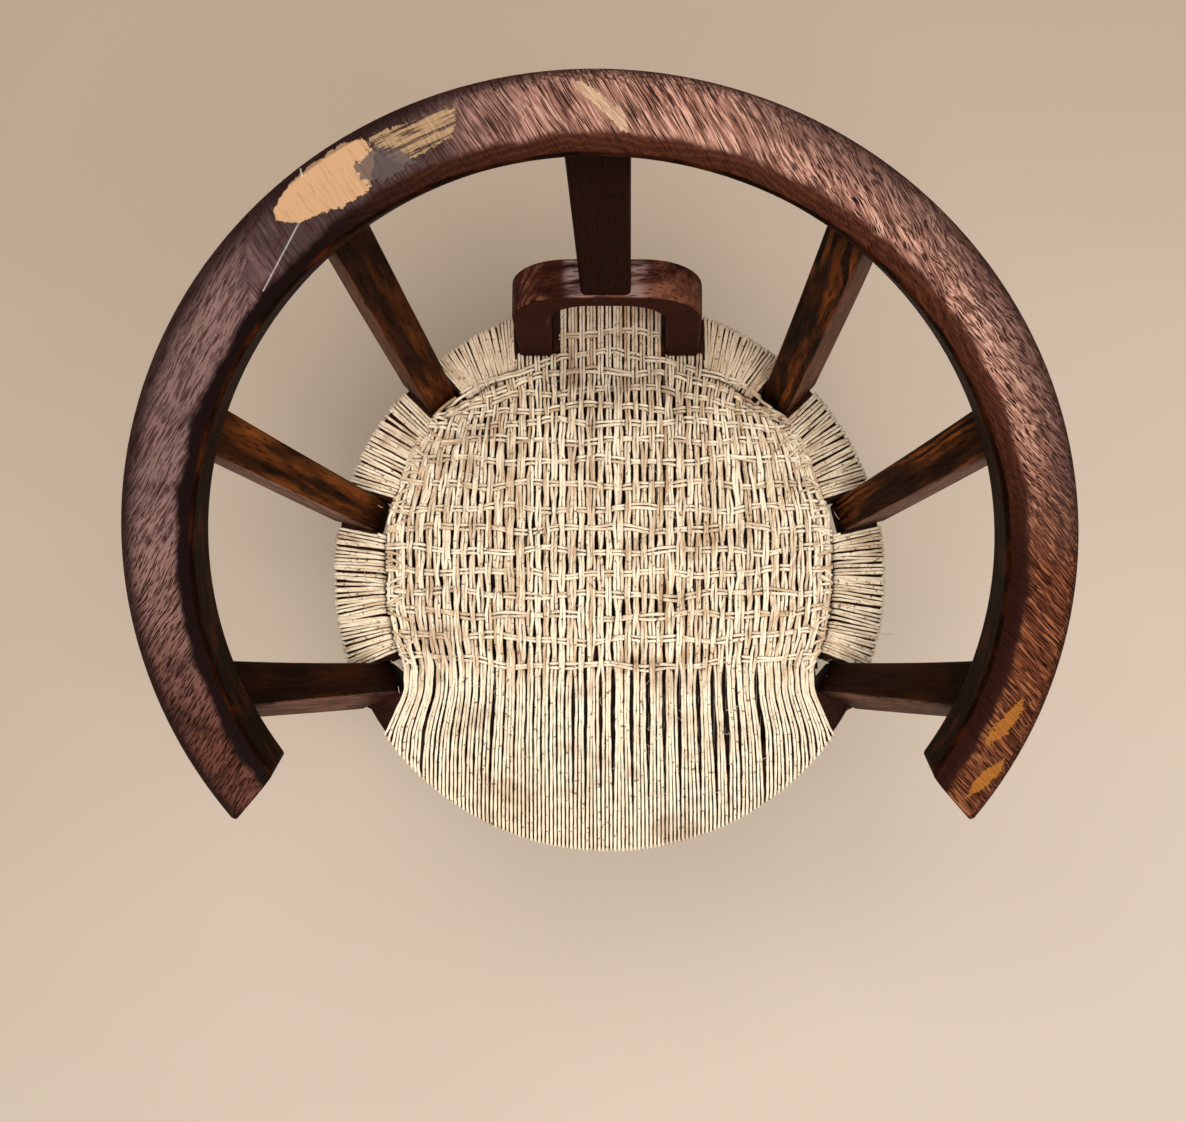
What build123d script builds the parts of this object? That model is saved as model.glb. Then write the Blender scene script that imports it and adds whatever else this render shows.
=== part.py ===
"""Barrel-back armchair: a tilted horseshoe arm rail on seven uprights over a round cord seat.

Millimetres, +Z up, the front of the chair towards -Y. Everything is laid out about the seat's own
axis, and the finished chair is moved so that its origin lies at the bottom centre of its box.
The right-hand pieces are modelled, and the left-hand ones are their mirror images.
"""

import os
from math import acos, atan2, cos, degrees, hypot, radians, sin

from build123d import *

# Seat ring and the cord round it
SEAT_HEIGHT = 440.0
CORD_DIA = 3.3
RING_OUTER_R = 229.0
RING_WIDTH = 39.0
RING_THICK = 36.0
RING_CORNER = 6.0
RING_JOINT_FRONT = -60.0
RING_JOINT_BACK = 59.0
RING_LAP_LENGTH = 40.0
WEAVE_THICK = 7.0
WEAVE_SAG = 10.0
FRONT_WRAP_ANGLE = 36.0

# Arm rail: a flat hoop tilted up at the back
RAIL_OUTER_R = 304.5
RAIL_WIDTH = 45.0
RAIL_THICK = 42.0
RAIL_TILT = 23.0
RAIL_CENTRE_Y = -35.0
RAIL_RISE = 260.0
RAIL_END_ANGLE = 33.2
RAIL_END_SKEW = 16.0
RAIL_END_ROUND = 5.0
INNER_CHAMFER = 9.6
INNER_CHAMFER_DROP = 7.0
OUTER_CHAMFER = 6.0
OUTER_CHAMFER_DROP = 5.0
UNDER_CHAMFER = 3.0
RAIL_EDGE_EASE = 1.5
SCARF_ANGLE = 44.0
SCARF_SLOPE = 50.0

# Uprights: where each stands on the seat ring and where it meets the rail, in degrees from +X
POST_WIDTH = 28.0
POST_DEPTH = 38.0
POST_CORNER = 4.0
FRONT_TOP_WIDTH = 37.0
MID_TOP_WIDTH = 33.0
BACK_TOP_WIDTH = 29.0
POST_BOW = 2.0
POST_INSET = 9.0
RAIL_INSET = 1.0
FRONT_SEAT_ANGLE = -25.0
FRONT_RAIL_ANGLE = -17.6
MID_SEAT_ANGLE = 14.7
MID_RAIL_ANGLE = 21.3
BACK_SEAT_ANGLE = 46.2
BACK_RAIL_ANGLE = 55.0
TONGUE_DEPTH = 15.0

# Feet of the four legs
FOOT_WIDTH = 26.0
FOOT_DEPTH = 30.0
FRONT_FOOT_X = 208.0
FRONT_FOOT_Y = -132.0
BACK_FOOT_X = 172.0
BACK_FOOT_Y = 198.0

# Arch behind the sitter and the splat that stands on it
ARCH_WIDTH = 148.0
ARCH_HEIGHT = 118.0
ARCH_DEPTH = 31.0
ARCH_CROWN = 18.0
ARCH_LEG = 27.0
ARCH_SET_IN = 7.0
ARCH_LEAN = 6.5
ARCH_SHOULDER_R = 46.0
ARCH_OPENING_R = 34.0
ARCH_EDGE_ROUND = 3.0
SPLAT_BASE_WIDTH = 37.5
SPLAT_TOP_WIDTH = 40.0
SPLAT_DEPTH = 27.0
SPLAT_SETBACK = 2.0

# Stretchers between the legs
STRETCHER_HEIGHT = 150.0
STRETCHER_TALL = 30.0
STRETCHER_WIDE = 20.0
STRETCHER_CORNER = 4.0

# Joints
TENON_WIDE = 16.0
TENON_DEEP = 22.0
TENON_LENGTH = 24.0
SPLAT_TENON_LENGTH = 13.0
STRETCHER_TENON = 11.0
STRETCHER_TENON_LENGTH = 17.0
PEG_DIA = 7.0
SCARF_DOWEL_DIA = 10.0
SCARF_DOWEL_COVER = 7.0
SCARF_DOWEL_SPACING = 22.0
FIT = 0.15
END_ROOM = 0.5
CORD_ROOM = 0.3
WRAP_ROOM = 3.0

# Heights and radii that follow
RING_TOP = SEAT_HEIGHT - CORD_DIA - CORD_ROOM
RING_BOTTOM = RING_TOP - RING_THICK
RING_INNER_R = RING_OUTER_R - RING_WIDTH
POST_INNER_R = RING_INNER_R + POST_INSET
POST_SEAT_R = POST_INNER_R + POST_DEPTH / 2
LAP_R = POST_INNER_R + TONGUE_DEPTH
ARCH_FRONT_Y = RING_INNER_R - ARCH_SET_IN
RAIL_INNER_R = RAIL_OUTER_R - RAIL_WIDTH
RAIL_MID_R = RAIL_OUTER_R - RAIL_WIDTH / 2
POST_RAIL_R = RAIL_INNER_R + RAIL_INSET + POST_DEPTH / 2
SCARF_DOWEL_REACH = RAIL_WIDTH / 2 - SCARF_DOWEL_COVER - SCARF_DOWEL_DIA / 2 * cos(radians(SCARF_SLOPE))
SCARF_DOWEL_LENGTH = 2 * SCARF_DOWEL_REACH / sin(radians(SCARF_SLOPE))
SPLAT_RAIL_R = RAIL_INNER_R + RAIL_INSET + SPLAT_DEPTH / 2
REACH = 4 * RAIL_OUTER_R

HOOP = Plane(
    origin=(0, RAIL_CENTRE_Y, SEAT_HEIGHT + RAIL_RISE),
    x_dir=(1, 0, 0),
    z_dir=(0, -sin(radians(RAIL_TILT)), cos(radians(RAIL_TILT))),
)
ARCH = Plane(
    origin=(0, ARCH_FRONT_Y, SEAT_HEIGHT),
    x_dir=(1, 0, 0),
    z_dir=(0, sin(radians(ARCH_LEAN)), cos(radians(ARCH_LEAN))),
)


def polar(radius, angle):
    """Plan position at an angle in degrees from +X."""
    return radius * cos(radians(angle)), radius * sin(radians(angle))


def seat_frame(angle, height):
    """Level frame on the seat ring, its x axis pointing outwards."""
    x, y = polar(POST_SEAT_R, angle)
    return Plane(origin=(x, y, height), x_dir=(*polar(1, angle), 0), z_dir=(0, 0, 1))


def hoop_frame(angle, radius, drop=0.0):
    """Frame in the rail's tilted plane, its x axis pointing outwards, a drop below the rail's top."""
    x, y = polar(radius, angle)
    local = Plane(origin=(x, y, -drop), x_dir=(*polar(1, angle), 0), z_dir=(0, 0, 1))
    return Plane(HOOP.location * local.location)


def halfway_frame(low, high, bow):
    """Frame midway between two others, pushed outwards by the bow."""
    middle = (low.origin + high.origin) / 2
    out = (low.x_dir + high.x_dir).normalized()
    return Plane(origin=middle + out * bow, x_dir=out, z_dir=high.origin - low.origin)


def rounded(frame, depth, width, corner):
    """Rounded rectangle on a frame, its depth along the frame's x axis."""
    return frame * RectangleRounded(depth, width, corner)


def block(frame, x_range, y_range, z_range):
    """Box between local limits in a frame."""
    size = [high - low for low, high in (x_range, y_range, z_range)]
    centre = [(high + low) / 2 for low, high in (x_range, y_range, z_range)]
    return frame * Pos(*centre) * Box(*size)


def peg(frame, diameter, length, grow=0.0):
    """Round peg from a frame's origin along its z axis, grown in radius where it cuts its hole."""
    return frame * Cylinder(
        diameter / 2 + grow, length + grow, align=(Align.CENTER, Align.CENTER, Align.MIN)
    )


def sector(profile, start, end):
    """Profile in the radius-height plane, turned about the Z axis between two angles."""
    return Rot(0, 0, start) * revolve(Plane.XZ * profile, Axis.Z, end - start)


def left_of(shape):
    """Mirror image on the left-hand side."""
    return mirror(shape, about=Plane.YZ)


# Tenons and pegs at the rail


def rail_tenon(angle, radius, grow=0.0):
    """Tenon standing on an upright's top, or its mortise where it is grown."""
    frame = hoop_frame(angle, radius, RAIL_THICK)
    deep = TENON_DEEP / 2 + grow
    wide = TENON_WIDE / 2 + grow
    return block(frame, (-deep, deep), (-wide, wide), (-grow, TENON_LENGTH + (END_ROOM if grow else 0)))


def rail_peg(angle, radius, grow=0.0):
    """Peg driven from the rail's outer wall through the tenon."""
    frame = hoop_frame(angle, RAIL_OUTER_R, RAIL_THICK - TENON_LENGTH / 2)
    inward = Plane(origin=frame.origin, x_dir=frame.z_dir, z_dir=-frame.x_dir)
    return peg(inward, PEG_DIA, RAIL_OUTER_R - radius + TENON_DEEP / 2, grow)


# Arm rail

SCARF = Plane(
    origin=(*polar(RAIL_MID_R, SCARF_ANGLE), -RAIL_THICK / 2),
    x_dir=(*polar(1, SCARF_ANGLE + SCARF_SLOPE), 0),
    z_dir=(0, 0, 1),
)
CREST_UPRIGHTS = [
    (BACK_RAIL_ANGLE, POST_RAIL_R),
    (180 - BACK_RAIL_ANGLE, POST_RAIL_R),
    (90, SPLAT_RAIL_R),
]
ARM_UPRIGHTS = [(FRONT_RAIL_ANGLE, POST_RAIL_R), (MID_RAIL_ANGLE, POST_RAIL_R)]


def rail_profile():
    """Section of the rail: a broad inner chamfer, a flat top and a smaller outer one, all eased."""
    corners = Polyline(
        (RAIL_INNER_R, UNDER_CHAMFER - RAIL_THICK),
        (RAIL_INNER_R, -INNER_CHAMFER_DROP),
        (RAIL_INNER_R + INNER_CHAMFER, 0),
        (RAIL_OUTER_R - OUTER_CHAMFER, 0),
        (RAIL_OUTER_R, -OUTER_CHAMFER_DROP),
        (RAIL_OUTER_R, UNDER_CHAMFER - RAIL_THICK),
        (RAIL_OUTER_R - UNDER_CHAMFER, -RAIL_THICK),
        (RAIL_INNER_R + UNDER_CHAMFER, -RAIL_THICK),
        close=True,
    )
    section = make_face(corners)
    return chamfer(section.vertices().filter_by(lambda v: v.Y > -RAIL_THICK / 2), RAIL_EDGE_EASE)


def scarf_side(sign):
    """Block on one side of the scarf's slanting face, to be taken away."""
    half = RAIL_OUTER_R / 2
    return block(SCARF, (-half, half), sorted((0, sign * RAIL_OUTER_R)), (-RAIL_THICK, RAIL_THICK))


def scarf_dowels(grow=0.0):
    """Two dowels across the scarf, one above the other."""
    across = Plane(origin=SCARF.origin, x_dir=SCARF.z_dir, z_dir=SCARF.y_dir)
    start = -(SCARF_DOWEL_LENGTH / 2 + grow)
    dowel = Pos(0, 0, start) * peg(Plane.XY, SCARF_DOWEL_DIA, SCARF_DOWEL_LENGTH + grow, grow)
    spots = (-SCARF_DOWEL_SPACING / 2, SCARF_DOWEL_SPACING / 2)
    return [HOOP * (across * (Pos(x, 0, 0) * dowel)) for x in spots]


def arm_plan():
    """Plan of the right arm: an arc whose skewed front end has rounded corners."""
    end = Plane(
        origin=(*polar(RAIL_OUTER_R, -RAIL_END_ANGLE), 0),
        x_dir=(*polar(1, -RAIL_END_ANGLE - RAIL_END_SKEW), 0),
    )
    beyond = end * Pos(0, -RAIL_OUTER_R / 2) * Rectangle(RAIL_OUTER_R, RAIL_OUTER_R)
    across = Pos(RAIL_OUTER_R, 0) * Rectangle(2 * RAIL_OUTER_R, 4 * RAIL_OUTER_R)
    plan = (Circle(RAIL_OUTER_R) - Circle(RAIL_INNER_R)) & across
    plan -= beyond
    corners = plan.vertices().sort_by(Axis.Y)[:2]
    return fillet(corners, RAIL_END_ROUND)


def with_mortises(rail, uprights):
    """Rail piece with a mortise and a peg hole for each upright."""
    for angle, radius in uprights:
        rail -= rail_tenon(angle, radius, FIT)
        rail -= rail_peg(angle, radius, FIT)
    return rail


def rail_arm():
    """Right arm, from the skewed end to the scarf."""
    arm = sector(rail_profile(), -2 * RAIL_END_ANGLE, 2 * SCARF_ANGLE)
    arm &= extrude(arm_plan(), RAIL_THICK, both=True)
    arm = HOOP * (arm - scarf_side(1))
    for dowel in scarf_dowels(FIT):
        arm -= dowel
    return with_mortises(arm, ARM_UPRIGHTS)


def rail_crest():
    """Middle of the rail, between the two scarfs."""
    crest = sector(rail_profile(), SCARF_ANGLE - RAIL_END_SKEW, 180 - SCARF_ANGLE + RAIL_END_SKEW)
    crest -= scarf_side(-1)
    crest -= left_of(scarf_side(-1))
    crest = HOOP * crest
    for dowel in scarf_dowels(FIT):
        crest -= dowel
        crest -= left_of(dowel)
    return with_mortises(crest, CREST_UPRIGHTS)


# Seat ring


def ring_profile(grow=0.0):
    """Section of the ring, grown by an offset for the cord round it."""
    middle = ((RING_INNER_R + RING_OUTER_R) / 2, (RING_TOP + RING_BOTTOM) / 2)
    return Pos(*middle) * RectangleRounded(RING_WIDTH + 2 * grow, RING_THICK + 2 * grow, RING_CORNER + grow)


def lap_half(angle, top):
    """Half the ring's height over one lap, to be taken away."""
    half_lap = degrees(RING_LAP_LENGTH / 2 / (RING_INNER_R + RING_WIDTH / 2))
    middle = RING_TOP if top else RING_BOTTOM
    face = Pos(RING_INNER_R + RING_WIDTH / 2, middle) * Rectangle(2 * RING_WIDTH, RING_THICK)
    return sector(face, angle - half_lap, angle + half_lap)


def ring_piece(start, end, laps_on_top):
    """Arc of the ring whose ends lap over or under its neighbours."""
    half_lap = degrees(RING_LAP_LENGTH / 2 / (RING_INNER_R + RING_WIDTH / 2))
    piece = sector(ring_profile(), start - half_lap, end + half_lap)
    for angle in (start, end):
        piece -= lap_half(angle, not laps_on_top)
        piece -= ring_dowel(angle, FIT)
    return piece


def ring_dowel(angle, grow=0.0):
    """Upright dowel through a lap of the ring."""
    x, y = polar(RING_INNER_R + RING_WIDTH / 2, angle)
    return peg(Plane(origin=(x, y, RING_BOTTOM)), PEG_DIA, RING_THICK, grow)


# Uprights


def post_notch(angle):
    """Notch from the ring's inner edge that takes an upright's tongue."""
    frame = seat_frame(angle, RING_BOTTOM)
    back = LAP_R - POST_SEAT_R + FIT
    half = POST_WIDTH / 2 + FIT
    return block(frame, (-RING_WIDTH, back), (-half, half), (-RING_THICK, 2 * RING_THICK))


def tongue(angle):
    """Inner part of an upright that passes down through the ring's notch."""
    frame = seat_frame(angle, RING_BOTTOM)
    half = POST_DEPTH / 2
    column = extrude(rounded(frame, POST_DEPTH, POST_WIDTH, POST_CORNER), RING_THICK)
    return column - block(frame, (LAP_R - POST_SEAT_R, half), (-half, half), (0, RING_THICK))


def lap_peg(angle, grow=0.0):
    """Peg driven from the ring's outer edge into an upright's tongue."""
    x, y = polar(RING_OUTER_R, angle)
    inward = Plane(
        origin=(x, y, (RING_TOP + RING_BOTTOM) / 2), x_dir=(0, 0, 1), z_dir=(*polar(-1, angle), 0)
    )
    return peg(inward, PEG_DIA, RING_OUTER_R - LAP_R + TONGUE_DEPTH * 2 / 3, grow)


def post(seat_angle, rail_angle, top_width):
    """Upright from the ring to the rail, flared at the top, with its tongue below and its tenon above."""
    low = seat_frame(seat_angle, RING_TOP)
    high = hoop_frame(rail_angle, POST_RAIL_R, RAIL_THICK)
    middle = halfway_frame(low, high, POST_BOW)
    waist = POST_WIDTH + (top_width - POST_WIDTH) / 4
    widths = {low: POST_WIDTH, middle: waist, high: top_width}
    shaft = loft([rounded(frame, POST_DEPTH, width, POST_CORNER) for frame, width in widths.items()])
    shaft += tongue(seat_angle)
    shaft += rail_tenon(rail_angle, POST_RAIL_R)
    return shaft - rail_peg(rail_angle, POST_RAIL_R, FIT) - lap_peg(seat_angle, FIT)


def leg_shaft(seat_angle, foot_x, foot_y):
    """Tapered leg from the floor to the underside of the ring, splayed outwards."""
    top = seat_frame(seat_angle, RING_BOTTOM)
    out = degrees(atan2(foot_y, foot_x))
    bottom = Plane(origin=(foot_x, foot_y, 0), x_dir=(*polar(1, out), 0), z_dir=(0, 0, 1))
    ends = [rounded(bottom, FOOT_DEPTH, FOOT_WIDTH, POST_CORNER)]
    ends.append(rounded(top, POST_DEPTH, POST_WIDTH, POST_CORNER))
    return loft(ends, ruled=True)


def leg_axis(seat_angle, foot_x, foot_y, height):
    """Point on a leg's axis at a height."""
    top_x, top_y = polar(POST_SEAT_R, seat_angle)
    share = height / RING_BOTTOM
    return Vector(foot_x + (top_x - foot_x) * share, foot_y + (top_y - foot_y) * share, height)


# Arch and splat


def arch_outline():
    """Front outline of the arch: flat crown, round shoulders, an opening with round corners."""
    below = -2 * CORD_DIA - SEAT_HEIGHT + RING_TOP
    outer_mid = (ARCH_HEIGHT + below) / 2
    outer = Pos(0, outer_mid) * Rectangle(ARCH_WIDTH, ARCH_HEIGHT - below)
    outer = fillet(outer.vertices().group_by(Axis.Y)[-1], ARCH_SHOULDER_R)
    opening_top = ARCH_HEIGHT - ARCH_CROWN
    low = 2 * below
    inner = Pos(0, (opening_top + low) / 2) * Rectangle(ARCH_WIDTH - 2 * ARCH_LEG, opening_top - low)
    inner = fillet(inner.vertices().group_by(Axis.Y)[-1], ARCH_OPENING_R)
    return outer - inner


def foot_tongue(grow=0.0):
    """Front part of the arch's right foot that passes down through the ring's notch."""
    inside = ARCH_WIDTH / 2 - ARCH_LEG
    front = ARCH_FRONT_Y - (RING_WIDTH if grow else 0)
    return block(
        Plane.XY,
        (inside - grow, ARCH_WIDTH / 2 + grow),
        (front, ARCH_FRONT_Y + TONGUE_DEPTH + grow),
        (RING_BOTTOM - (RING_THICK if grow else 0), RING_TOP + (RING_THICK if grow else 0)),
    )


def foot_peg(grow=0.0):
    """Peg driven from the ring's outer edge into the arch's right foot."""
    x = ARCH_WIDTH / 2 - ARCH_LEG / 2
    y = (RING_OUTER_R**2 - (x + PEG_DIA / 2) ** 2) ** 0.5
    start = Plane(origin=(x, y, (RING_TOP + RING_BOTTOM) / 2), x_dir=(1, 0, 0), z_dir=(0, -1, 0))
    return peg(start, PEG_DIA, y - ARCH_FRONT_Y - TONGUE_DEPTH / 3, grow)


def crown_frame():
    """Frame on the arch's crown where the splat stands, its x axis pointing back."""
    back = ARCH.y_dir
    spot = ARCH.origin + ARCH.z_dir * ARCH_HEIGHT + back * (SPLAT_SETBACK + SPLAT_DEPTH / 2)
    return Plane(origin=spot, x_dir=back, z_dir=ARCH.z_dir)


def splat_tenon(grow=0.0):
    """Tenon under the splat, or its mortise in the crown where it is grown."""
    deep = TENON_WIDE / 2 + grow
    wide = TENON_DEEP / 2 + grow
    room = END_ROOM if grow else 0
    return block(crown_frame(), (-deep, deep), (-wide, wide), (-SPLAT_TENON_LENGTH - room, grow))


def splat_arch():
    """Arch that stands on the ring and carries the splat."""
    front = Plane(origin=ARCH.origin, x_dir=(1, 0, 0), z_dir=-ARCH.y_dir)
    arch = extrude(front * arch_outline(), -ARCH_DEPTH)
    faces = arch.faces().sort_by(Axis(ARCH.origin, ARCH.y_dir))
    outline = (faces[0].edges() + faces[-1].edges()).filter_by(lambda edge: edge.center().Z > RING_TOP)
    arch = fillet(outline, ARCH_EDGE_ROUND)
    arch -= block(Plane.XY, (-REACH, REACH), (-REACH, REACH), (0, RING_TOP))
    for foot in (foot_tongue(), left_of(foot_tongue())):
        arch += foot
    for hole in (foot_peg(FIT), left_of(foot_peg(FIT))):
        arch -= hole
    return arch - splat_tenon(FIT)


def back_splat():
    """Splat from the arch's crown to the middle of the rail."""
    low = crown_frame()
    high = hoop_frame(90, SPLAT_RAIL_R, RAIL_THICK)
    shaft = loft(
        [
            rounded(low, SPLAT_DEPTH, SPLAT_BASE_WIDTH, POST_CORNER),
            rounded(high, SPLAT_DEPTH, SPLAT_TOP_WIDTH, POST_CORNER),
        ],
        ruled=True,
    )
    shaft += splat_tenon()
    shaft += rail_tenon(90, SPLAT_RAIL_R)
    return shaft - rail_peg(90, SPLAT_RAIL_R, FIT)


# Stretchers


def bar(start, end, wide, tall, corner):
    """Bar with rounded edges between two points at one height."""
    along = end - start
    frame = Plane(origin=start, x_dir=(0, 0, 1), z_dir=along)
    return extrude(frame * RectangleRounded(tall, wide, corner), along.length)


def stub(start, end, grow=0.0):
    """Square tenon from inside one piece towards another, or its mortise where it is grown."""
    along = end - start
    frame = Plane(origin=start, x_dir=(0, 0, 1), z_dir=along)
    half = STRETCHER_TENON / 2 + grow
    room = END_ROOM if grow else 0
    length = (-STRETCHER_TENON_LENGTH / 2 - room, STRETCHER_TENON_LENGTH)
    return block(frame, (-half, half), (-half, half), length)


def longest(shape):
    """Largest solid of a cut shape, the one between its two shoulders."""
    return shape.solids().sort_by(SortBy.VOLUME)[-1]


FRONT_LEG = (FRONT_SEAT_ANGLE, FRONT_FOOT_X, FRONT_FOOT_Y)
BACK_LEG = (BACK_SEAT_ANGLE, BACK_FOOT_X, BACK_FOOT_Y)
SIDE_FRONT = leg_axis(*FRONT_LEG, STRETCHER_HEIGHT)
SIDE_BACK = leg_axis(*BACK_LEG, STRETCHER_HEIGHT)
SIDE_MIDDLE = (SIDE_FRONT + SIDE_BACK) / 2
CROSS_LEFT = Vector(-SIDE_MIDDLE.X, SIDE_MIDDLE.Y, SIDE_MIDDLE.Z)


def front_leg():
    """Front leg and arm post in one, from the floor to the rail."""
    leg = leg_shaft(*FRONT_LEG) + post(FRONT_SEAT_ANGLE, FRONT_RAIL_ANGLE, FRONT_TOP_WIDTH)
    return leg - stub(SIDE_FRONT, SIDE_BACK, FIT)


def back_leg():
    """Back leg and back post in one, from the floor to the rail."""
    leg = leg_shaft(*BACK_LEG) + post(BACK_SEAT_ANGLE, BACK_RAIL_ANGLE, BACK_TOP_WIDTH)
    return leg - stub(SIDE_BACK, SIDE_FRONT, FIT)


def side_stretcher():
    """Stretcher from front leg to back leg, its shoulders scribed to them."""
    rail = bar(SIDE_FRONT, SIDE_BACK, STRETCHER_WIDE, STRETCHER_TALL, STRETCHER_CORNER)
    rail = longest(rail - leg_shaft(*FRONT_LEG) - leg_shaft(*BACK_LEG))
    rail += stub(SIDE_FRONT, SIDE_BACK)
    rail += stub(SIDE_BACK, SIDE_FRONT)
    return rail - cross_tenon(FIT)


def cross_tenon(grow=0.0):
    """Tenon of the cross stretcher in the right side stretcher."""
    half = STRETCHER_TENON / 2 + grow
    level = Plane(origin=SIDE_MIDDLE, x_dir=(1, 0, 0), z_dir=(0, 0, 1))
    inner = -STRETCHER_TENON_LENGTH
    outer = STRETCHER_WIDE / 4 + (END_ROOM if grow else 0)
    return block(level, (inner, outer), (-half, half), (-half, half))


def cross_stretcher():
    """Stretcher from side to side, its shoulders scribed to the side stretchers."""
    cross = bar(CROSS_LEFT, SIDE_MIDDLE, STRETCHER_WIDE, STRETCHER_TALL, STRETCHER_CORNER)
    side = bar(SIDE_FRONT, SIDE_BACK, STRETCHER_WIDE, STRETCHER_TALL, STRETCHER_CORNER)
    cross = longest(cross - side - left_of(side))
    cross += cross_tenon()
    cross += left_of(cross_tenon())
    return cross


# Cord seat


def cord_wrap(start, end):
    """Cord wound round the ring between two angles."""
    skin = ring_profile(CORD_ROOM + CORD_DIA) - ring_profile(CORD_ROOM)
    return sector(skin, start, end)


def seat_weave():
    """Woven panel inside the ring, dished towards the middle."""
    rim = RING_INNER_R - 2 * CORD_ROOM - CORD_DIA
    top = SEAT_HEIGHT
    low = top - WEAVE_THICK
    upper = ThreePointArc((0, top - WEAVE_SAG), (rim / 2, top - WEAVE_SAG * 3 / 4), (rim, top))
    lower = ThreePointArc((0, low - WEAVE_SAG), (rim / 2, low - WEAVE_SAG * 3 / 4), (rim, low))
    edge = Line((rim, low), (rim, top))
    axis = Line((0, low - WEAVE_SAG), (0, top - WEAVE_SAG))
    return sector(make_face([upper, edge, lower, axis]), 0, 360)


def side_pieces(name, shape):
    """Right-hand piece and its mirror image, by name."""
    return {name + "_right": shape, name + "_left": left_of(shape)}


POST_ANGLES = (FRONT_SEAT_ANGLE, MID_SEAT_ANGLE, BACK_SEAT_ANGLE)
POST_GAP = degrees((POST_WIDTH / 2 + WRAP_ROOM) / POST_INNER_R)
FOOT_IN = ARCH_WIDTH / 2 - ARCH_LEG - WRAP_ROOM
FOOT_OUT = ARCH_WIDTH / 2 + WRAP_ROOM
FOOT_OUT_ANGLE = degrees(acos(FOOT_OUT / hypot(FOOT_OUT, ARCH_FRONT_Y)))
FOOT_IN_ANGLE = degrees(acos(FOOT_IN / RING_OUTER_R))


def build():
    """Every piece of the chair by name, about the seat's axis."""
    notches = [post_notch(angle) for angle in POST_ANGLES]
    holes = [lap_peg(angle, FIT) for angle in POST_ANGLES]
    ring_side = ring_piece(RING_JOINT_FRONT, RING_JOINT_BACK, True)
    for cut in notches + holes:
        ring_side -= cut
    ring_back = ring_piece(RING_JOINT_BACK, 180 - RING_JOINT_BACK, False)
    for cut in (foot_tongue(FIT), foot_peg(FIT)):
        ring_back = ring_back - cut - left_of(cut)
    ring_front = ring_piece(-180 - RING_JOINT_FRONT, RING_JOINT_FRONT, False)

    rail_pegs = [rail_peg(angle, radius) for angle, radius in ARM_UPRIGHTS + CREST_UPRIGHTS]
    rail_pegs += [left_of(rail_peg(angle, radius)) for angle, radius in ARM_UPRIGHTS]
    lap_pegs = [lap_peg(angle) for angle in POST_ANGLES] + [foot_peg()]
    lap_pegs += [left_of(item) for item in lap_pegs]
    dowels = scarf_dowels()
    dowels += [left_of(item) for item in dowels]
    ring_dowels = [ring_dowel(angle) for angle in (RING_JOINT_FRONT, RING_JOINT_BACK)]
    ring_dowels += [left_of(item) for item in ring_dowels]

    pieces = {
        "rail_crest": rail_crest(),
        "splat_arch": splat_arch(),
        "back_splat": back_splat(),
        "seat_ring_front": ring_front,
        "seat_ring_back": ring_back,
        "cross_stretcher": cross_stretcher(),
        "seat_weave": seat_weave(),
        "cord_wrap_front": cord_wrap(FRONT_WRAP_ANGLE - 180, -FRONT_WRAP_ANGLE),
        "cord_wrap_back": cord_wrap(FOOT_IN_ANGLE, 180 - FOOT_IN_ANGLE),
        "rail_tenon_pegs": Part() + rail_pegs,
        "rail_scarf_dowels": Part() + dowels,
        "seat_lap_pegs": Part() + lap_pegs,
        "seat_ring_dowels": Part() + ring_dowels,
    }
    pieces |= side_pieces("rail_arm", rail_arm())
    pieces |= side_pieces("front_leg", front_leg())
    pieces |= side_pieces("back_leg", back_leg())
    pieces |= side_pieces("mid_post", post(MID_SEAT_ANGLE, MID_RAIL_ANGLE, MID_TOP_WIDTH))
    pieces |= side_pieces("seat_ring", ring_side)
    pieces |= side_pieces("side_stretcher", side_stretcher())
    spans = {
        "cord_wrap_arm": (FRONT_SEAT_ANGLE + POST_GAP, MID_SEAT_ANGLE - POST_GAP),
        "cord_wrap_side": (MID_SEAT_ANGLE + POST_GAP, BACK_SEAT_ANGLE - POST_GAP),
        "cord_wrap_corner": (BACK_SEAT_ANGLE + POST_GAP, FOOT_OUT_ANGLE),
    }
    for name, span in spans.items():
        pieces |= side_pieces(name, cord_wrap(*span))
    return pieces


def main():
    pieces = build()
    boxes = [shape.bounding_box() for shape in pieces.values()]
    front = min(box.min.Y for box in boxes)
    back = max(box.max.Y for box in boxes)
    to_origin = Pos(0, -(front + back) / 2, 0)
    os.makedirs("parts", exist_ok=True)
    for name, shape in pieces.items():
        export_step(to_origin * shape, f"parts/{name}.step")


main()
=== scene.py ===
"""Looks of the barrel-back armchair: worn dark wood, and a round seat woven from plant-fibre cord.

Metres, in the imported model's frame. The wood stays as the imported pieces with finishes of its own, and
the cord's plain solids give way to every single cord of the seat.
"""

from math import cos, hypot, pi, radians, sin

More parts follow.
